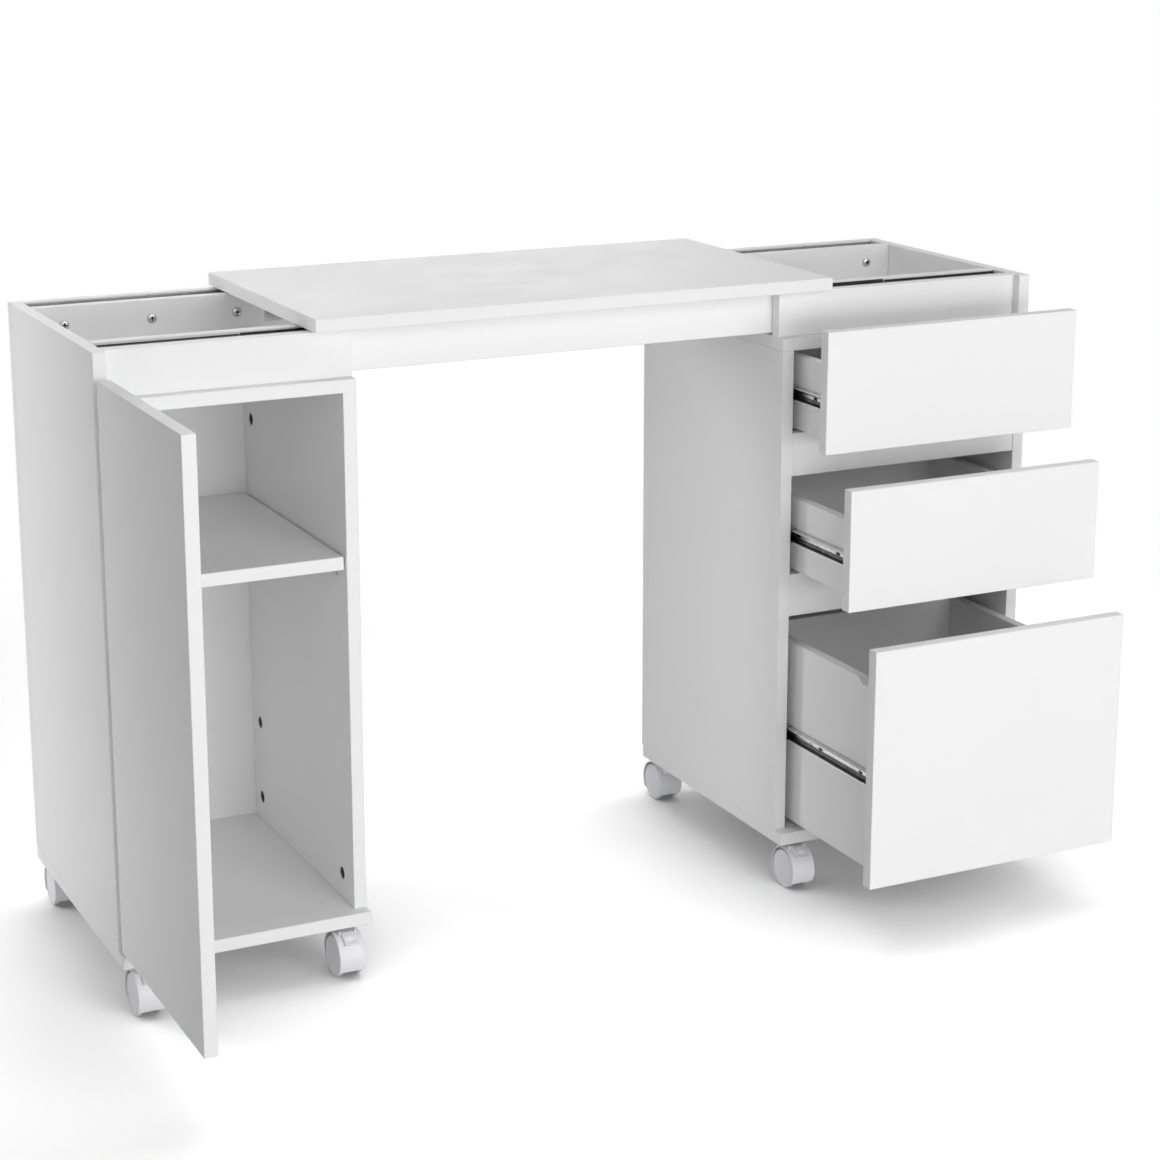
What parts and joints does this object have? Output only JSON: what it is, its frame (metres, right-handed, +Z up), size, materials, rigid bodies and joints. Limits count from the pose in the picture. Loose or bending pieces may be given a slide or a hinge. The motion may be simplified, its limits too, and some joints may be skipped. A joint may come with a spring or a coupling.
{
  "type": "sewing table",
  "caption": "Rolling sewing table in white board: a sliding top over a door cabinet and a drawer cabinet, which pull out to both sides on telescopic slides.",
  "frame": {"origin": "on the floor, under the centre of the pulled-out table's bounding box", "axes": "+X to the right along the table, from the door cabinet to the drawer cabinet; +Y to the back; +Z up"},
  "size_m": [1.163, 0.6554, 0.75],
  "materials": {
    "white_melamine": "satin white melamine on board",
    "drawer_board": "satin white foil on thin board",
    "slide_steel": "zinc-plated rolled steel",
    "bright_zinc": "bright zinc-plated steel",
    "castor_plastic": "moulded white plastic",
    "castor_wheel": "moulded white plastic, slightly worn tread",
    "tenon_beech": "raw beech"
  },
  "bodies": {
    "table_frame": {"tabletop": "white_melamine", "front_center_apron": "white_melamine", "back_center_apron": "white_melamine", "apron_tenons": "tenon_beech", "left_slide_inners": "slide_steel", "right_slide_inners": "slide_steel"},
    "left_cabinet": {"left_outer_side": "white_melamine", "left_inner_side": "white_melamine", "left_back_panel": "white_melamine", "left_base_panel": "white_melamine", "left_top_panel": "white_melamine", "left_tray_boards": "white_melamine", "cabinet_shelf": "white_melamine", "shelf_brackets": "bright_zinc", "left_slide_outers": "slide_steel", "hinge_arms": "bright_zinc", "left_castor_plates": "bright_zinc"},
    "left_slide": {"left_slide_middles": "slide_steel"},
    "door": {"door_panel": "white_melamine", "hinge_cups": "bright_zinc"},
    "right_cabinet": {"right_outer_side": "white_melamine", "right_inner_side": "white_melamine", "right_back_panel": "white_melamine", "right_base_panel": "white_melamine", "right_top_panel": "white_melamine", "right_tray_boards": "white_melamine", "drawer_rails": "white_melamine", "right_slide_outers": "slide_steel", "drawer_runner_rails": "slide_steel", "right_castor_plates": "bright_zinc"},
    "right_slide": {"right_slide_middles": "slide_steel"},
    "upper_drawer": {"upper_drawer_front": "white_melamine", "upper_drawer_box": "drawer_board", "upper_drawer_runners": "slide_steel"},
    "middle_drawer": {"middle_drawer_front": "white_melamine", "middle_drawer_box": "drawer_board", "middle_drawer_runners": "slide_steel"},
    "lower_drawer": {"lower_drawer_front": "white_melamine", "lower_drawer_box": "drawer_board", "lower_drawer_runners": "slide_steel"},
    "left_front_left_castor": {"left_front_left_castor_hood": "castor_plastic"},
    "left_front_left_wheels": {"left_front_left_castor_wheels": "castor_wheel"},
    "left_front_left_brake": {"left_front_left_brake_lever": "castor_plastic"},
    "left_front_right_castor": {"left_front_right_castor_hood": "castor_plastic"},
    "left_front_right_wheels": {"left_front_right_castor_wheels": "castor_wheel"},
    "left_front_right_brake": {"left_front_right_brake_lever": "castor_plastic"},
    "left_rear_left_castor": {"left_rear_left_castor_hood": "castor_plastic"},
    "left_rear_left_wheels": {"left_rear_left_castor_wheels": "castor_wheel"},
    "left_rear_right_castor": {"left_rear_right_castor_hood": "castor_plastic"},
    "left_rear_right_wheels": {"left_rear_right_castor_wheels": "castor_wheel"},
    "right_front_left_castor": {"right_front_left_castor_hood": "castor_plastic"},
    "right_front_left_wheels": {"right_front_left_castor_wheels": "castor_wheel"},
    "right_front_left_brake": {"right_front_left_brake_lever": "castor_plastic"},
    "right_front_right_castor": {"right_front_right_castor_hood": "castor_plastic"},
    "right_front_right_wheels": {"right_front_right_castor_wheels": "castor_wheel"},
    "right_front_right_brake": {"right_front_right_brake_lever": "castor_plastic"},
    "right_rear_left_castor": {"right_rear_left_castor_hood": "castor_plastic"},
    "right_rear_left_wheels": {"right_rear_left_castor_wheels": "castor_wheel"},
    "right_rear_right_castor": {"right_rear_right_castor_hood": "castor_plastic"},
    "right_rear_right_wheels": {"right_rear_right_castor_wheels": "castor_wheel"}
  },
  "joints": [
    {"name": "left_cabinet_slide", "type": "slide", "parent": "table_frame", "child": "left_cabinet", "axis": [1, 0, 0], "range_m": [0, 0.244]},
    {"name": "left_slide_travel", "type": "slide", "parent": "table_frame", "child": "left_slide", "axis": [1, 0, 0], "range_m": [0, 0.122]},
    {"name": "right_cabinet_slide", "type": "slide", "parent": "table_frame", "child": "right_cabinet", "axis": [-1, 0, 0], "range_m": [0, 0.285]},
    {"name": "right_slide_travel", "type": "slide", "parent": "table_frame", "child": "right_slide", "axis": [-1, 0, 0], "range_m": [0, 0.1425]},
    {"name": "door_hinge", "type": "hinge", "parent": "left_cabinet", "child": "door", "pos_m": [-0.5735, -0.05175, 0.391], "axis": [0, 0, 1], "range_deg": [-5, 90]},
    {"name": "upper_drawer_slide", "type": "slide", "parent": "right_cabinet", "child": "upper_drawer", "axis": [0, -1, 0], "range_m": [-0.079, 0.141]},
    {"name": "middle_drawer_slide", "type": "slide", "parent": "right_cabinet", "child": "middle_drawer", "axis": [0, -1, 0], "range_m": [-0.136, 0.084]},
    {"name": "lower_drawer_slide", "type": "slide", "parent": "right_cabinet", "child": "lower_drawer", "axis": [0, -1, 0], "range_m": [-0.196, 0.024]},
    {"name": "left_front_left_swivel", "type": "hinge", "parent": "left_cabinet", "child": "left_front_left_castor", "pos_m": [-0.554, -0.01975, 0.058], "axis": [0, 0, 1], "continuous": true},
    {"name": "left_front_left_wheel_spin", "type": "hinge", "parent": "left_front_left_castor", "child": "left_front_left_wheels", "pos_m": [-0.554, -0.03975, 0.0235], "axis": [1, 0, 0], "continuous": true},
    {"name": "left_front_left_brake_pedal", "type": "hinge", "parent": "left_front_left_castor", "child": "left_front_left_brake", "pos_m": [-0.554, -0.04705, 0.05224], "axis": [-1, 0, 0], "range_deg": [0, 25]},
    {"name": "left_front_right_swivel", "type": "hinge", "parent": "left_cabinet", "child": "left_front_right_castor", "pos_m": [-0.322, -0.01975, 0.058], "axis": [0, 0, 1], "continuous": true},
    {"name": "left_front_right_wheel_spin", "type": "hinge", "parent": "left_front_right_castor", "child": "left_front_right_wheels", "pos_m": [-0.322, -0.03975, 0.0235], "axis": [1, 0, 0], "continuous": true},
    {"name": "left_front_right_brake_pedal", "type": "hinge", "parent": "left_front_right_castor", "child": "left_front_right_brake", "pos_m": [-0.322, -0.04705, 0.05224], "axis": [-1, 0, 0], "range_deg": [0, 25]},
    {"name": "left_rear_left_swivel", "type": "hinge", "parent": "left_cabinet", "child": "left_rear_left_castor", "pos_m": [-0.554, 0.28125, 0.058], "axis": [0, 0, 1], "continuous": true},
    {"name": "left_rear_left_wheel_spin", "type": "hinge", "parent": "left_rear_left_castor", "child": "left_rear_left_wheels", "pos_m": [-0.554, 0.30125, 0.0235], "axis": [1, 0, 0], "continuous": true},
    {"name": "left_rear_right_swivel", "type": "hinge", "parent": "left_cabinet", "child": "left_rear_right_castor", "pos_m": [-0.322, 0.28125, 0.058], "axis": [0, 0, 1], "continuous": true},
    {"name": "left_rear_right_wheel_spin", "type": "hinge", "parent": "left_rear_right_castor", "child": "left_rear_right_wheels", "pos_m": [-0.322, 0.30125, 0.0235], "axis": [1, 0, 0], "continuous": true},
    {"name": "right_front_left_swivel", "type": "hinge", "parent": "right_cabinet", "child": "right_front_left_castor", "pos_m": [0.264, -0.01975, 0.058], "axis": [0, 0, 1], "continuous": true},
    {"name": "right_front_left_wheel_spin", "type": "hinge", "parent": "right_front_left_castor", "child": "right_front_left_wheels", "pos_m": [0.264, -0.03975, 0.0235], "axis": [1, 0, 0], "continuous": true},
    {"name": "right_front_left_brake_pedal", "type": "hinge", "parent": "right_front_left_castor", "child": "right_front_left_brake", "pos_m": [0.264, -0.04705, 0.05224], "axis": [-1, 0, 0], "range_deg": [0, 25]},
    {"name": "right_front_right_swivel", "type": "hinge", "parent": "right_cabinet", "child": "right_front_right_castor", "pos_m": [0.554, -0.01975, 0.058], "axis": [0, 0, 1], "continuous": true},
    {"name": "right_front_right_wheel_spin", "type": "hinge", "parent": "right_front_right_castor", "child": "right_front_right_wheels", "pos_m": [0.554, -0.03975, 0.0235], "axis": [1, 0, 0], "continuous": true},
    {"name": "right_front_right_brake_pedal", "type": "hinge", "parent": "right_front_right_castor", "child": "right_front_right_brake", "pos_m": [0.554, -0.04705, 0.05224], "axis": [-1, 0, 0], "range_deg": [0, 25]},
    {"name": "right_rear_left_swivel", "type": "hinge", "parent": "right_cabinet", "child": "right_rear_left_castor", "pos_m": [0.264, 0.28125, 0.058], "axis": [0, 0, 1], "continuous": true},
    {"name": "right_rear_left_wheel_spin", "type": "hinge", "parent": "right_rear_left_castor", "child": "right_rear_left_wheels", "pos_m": [0.264, 0.30125, 0.0235], "axis": [1, 0, 0], "continuous": true},
    {"name": "right_rear_right_swivel", "type": "hinge", "parent": "right_cabinet", "child": "right_rear_right_castor", "pos_m": [0.554, 0.28125, 0.058], "axis": [0, 0, 1], "continuous": true},
    {"name": "right_rear_right_wheel_spin", "type": "hinge", "parent": "right_rear_right_castor", "child": "right_rear_right_wheels", "pos_m": [0.554, 0.30125, 0.0235], "axis": [1, 0, 0], "continuous": true}
  ],
  "couplings": [
    {"joint": "left_slide_travel", "follows": "left_cabinet_slide", "ratio": 0.5},
    {"joint": "right_slide_travel", "follows": "right_cabinet_slide", "ratio": 0.5}
  ]
}
